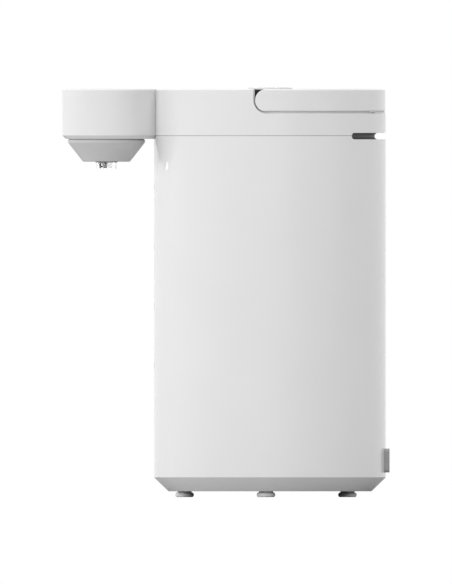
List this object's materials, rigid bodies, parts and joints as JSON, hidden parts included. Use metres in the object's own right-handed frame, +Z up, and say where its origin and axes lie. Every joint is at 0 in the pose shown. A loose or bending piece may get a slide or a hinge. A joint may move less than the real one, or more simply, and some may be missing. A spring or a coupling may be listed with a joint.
{
  "type": "electric thermo pot",
  "caption": "Round electric hot water pot with a pumped spout head, a hinged lid with a push button, and a bail handle folded round its top.",
  "frame": {"origin": "middle of the whole object's length and width, on the plane the feet stand on", "axes": "+Z up, -X towards the spout, +X towards the power inlet, Y across"},
  "size_m": [0.271, 0.192, 0.3402],
  "materials": {
    "shell_paint": "smooth satin powder coat, very light neutral grey",
    "housing_plastic": "fine matte moulded plastic, very light neutral grey",
    "base_plastic": "fine matte moulded plastic, very light neutral grey",
    "nozzle_plastic": "fine matte moulded plastic, light grey",
    "inlet_plastic": "matte moulded plastic, mid grey",
    "vent_plastic": "matte moulded plastic, dark grey",
    "liner_plastic": "matte moulded plastic, light grey",
    "inner_grey": "matte moulded plastic, dark grey",
    "black_plastic": "matte moulded plastic, black",
    "latch_plastic": "smooth sliding plastic, grey",
    "clear_plastic": "clear polished plastic",
    "clear_tube": "translucent silicone tube",
    "panel_glass": "smooth dark touch panel",
    "tank_steel": "brushed stainless steel",
    "screw_steel": "plated steel",
    "motor_steel": "drawn steel can",
    "heater_sheath": "oxidised sheath",
    "cast_aluminium": "plain cast and turned aluminium",
    "brass": "plain brass",
    "silicone": "translucent grey silicone",
    "rubber": "matte grey rubber",
    "foot_rubber": "matte light grey rubber",
    "dark_rubber": "matte dark rubber",
    "insulation": "pressed fibre blanket",
    "board_green": "glass fibre board with green resist",
    "lead_sleeve": "silicone wire sleeve"
  },
  "bodies": {
    "pot": {"base_pan": "base_plastic", "rubber_feet": "foot_rubber", "base_screws": "screw_steel", "body_shell": "shell_paint", "level_window": "clear_plastic", "seam_ring": "dark_rubber", "upper_housing": "housing_plastic", "head_underside": "housing_plastic", "underside_screws": "screw_steel", "nozzle_cone": "nozzle_plastic", "nozzle_tip": "black_plastic", "nozzle_shroud": "clear_plastic", "control_panel": "panel_glass", "control_board": "board_green", "display_module": "black_plastic", "vent_channel": "vent_plastic", "tank": "tank_steel", "tank_strainer": "tank_steel", "tank_collar": "inner_grey", "tank_gasket": "silicone", "tank_stand": "inner_grey", "insulation_sleeve": "insulation", "heater_plate": "cast_aluminium", "heater_coil": "heater_sheath", "thermal_cutout": "black_plastic", "temperature_sensor": "brass", "pump_pad": "rubber", "pump_motor": "motor_steel", "pump_volute": "inner_grey", "inlet_hose": "silicone", "riser_tube": "clear_tube", "power_board": "board_green", "board_parts": "black_plastic", "inlet_frame": "inlet_plastic", "inlet_contacts": "brass", "inlet_plates": "screw_steel", "inlet_leads": "lead_sleeve", "pivot_pins": "screw_steel", "pivot_plates": "black_plastic", "hinge_pin": "screw_steel"},
    "handle": {"handle_bail": "housing_plastic", "handle_liner": "liner_plastic", "handle_screws": "screw_steel"},
    "lid": {"lid_cover": "housing_plastic", "lid_liner": "liner_plastic", "lid_seal": "silicone", "lid_screws": "screw_steel", "steam_cap": "liner_plastic", "button_spring": "screw_steel"},
    "button": {"lid_button": "housing_plastic"},
    "latch": {"latch_bolt": "latch_plastic"},
    "pump_rotor": {"impeller": "black_plastic"}
  },
  "joints": [
    {"name": "handle_lift", "type": "hinge", "parent": "pot", "child": "handle", "pos_m": [0.0336, 0, 0.3285], "axis": [0, -1, 0], "range_deg": [0, 90]},
    {"name": "lid_hinge", "type": "hinge", "parent": "pot", "child": "lid", "pos_m": [0.1085, 0, 0.335], "axis": [0, 1, 0], "range_deg": [0, 90]},
    {"name": "button_press", "type": "slide", "parent": "lid", "child": "button", "axis": [0, 0, -1], "range_m": [0, 0.002], "stiffness_N_per_m": 600, "springref_m": -0.003, "deforming": ["button_spring"]},
    {"name": "latch_slide", "type": "slide", "parent": "lid", "child": "latch", "axis": [1, 0, 0], "range_m": [0, 0.002]},
    {"name": "pump_spin", "type": "hinge", "parent": "pot", "child": "pump_rotor", "pos_m": [-0.00752, -0.013, 0.038], "axis": [0, 0, 1], "continuous": true}
  ],
  "couplings": [
    {"joint": "latch_slide", "follows": "button_press", "ratio": 1}
  ]
}
